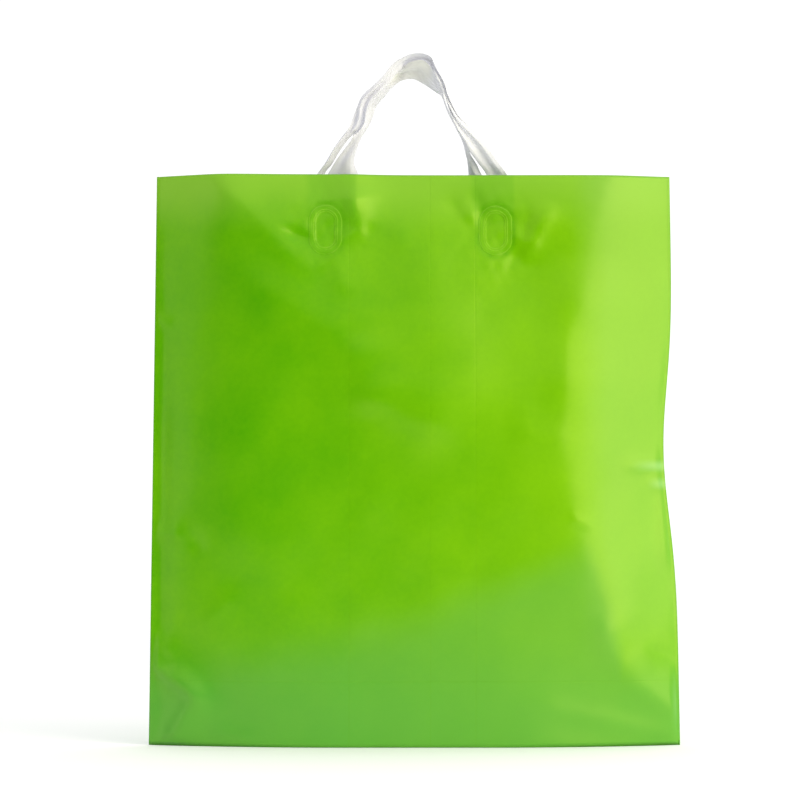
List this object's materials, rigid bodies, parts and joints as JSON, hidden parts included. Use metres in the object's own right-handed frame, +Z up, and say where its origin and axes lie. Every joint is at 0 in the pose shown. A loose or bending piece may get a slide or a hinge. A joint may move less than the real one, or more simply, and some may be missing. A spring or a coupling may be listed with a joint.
{
  "type": "plastic carrier bag",
  "caption": "Green plastic carrier bag with side weld seams, an open bottom gusset and white soft loop handles, standing upright.",
  "frame": {"origin": "middle of the base, on the ground", "axes": "+Z up, +X to the right across the front panel, front panel towards -Y"},
  "size_m": [0.401, 0.0814, 0.5221],
  "materials": {
    "green_film": "satin polyethylene film, bright lime green",
    "handle_film": "milky white translucent polyethylene film"
  },
  "bodies": {
    "root": {"bag_body": "green_film", "front_handle": "handle_film", "back_handle": "handle_film"}
  },
  "joints": []
}
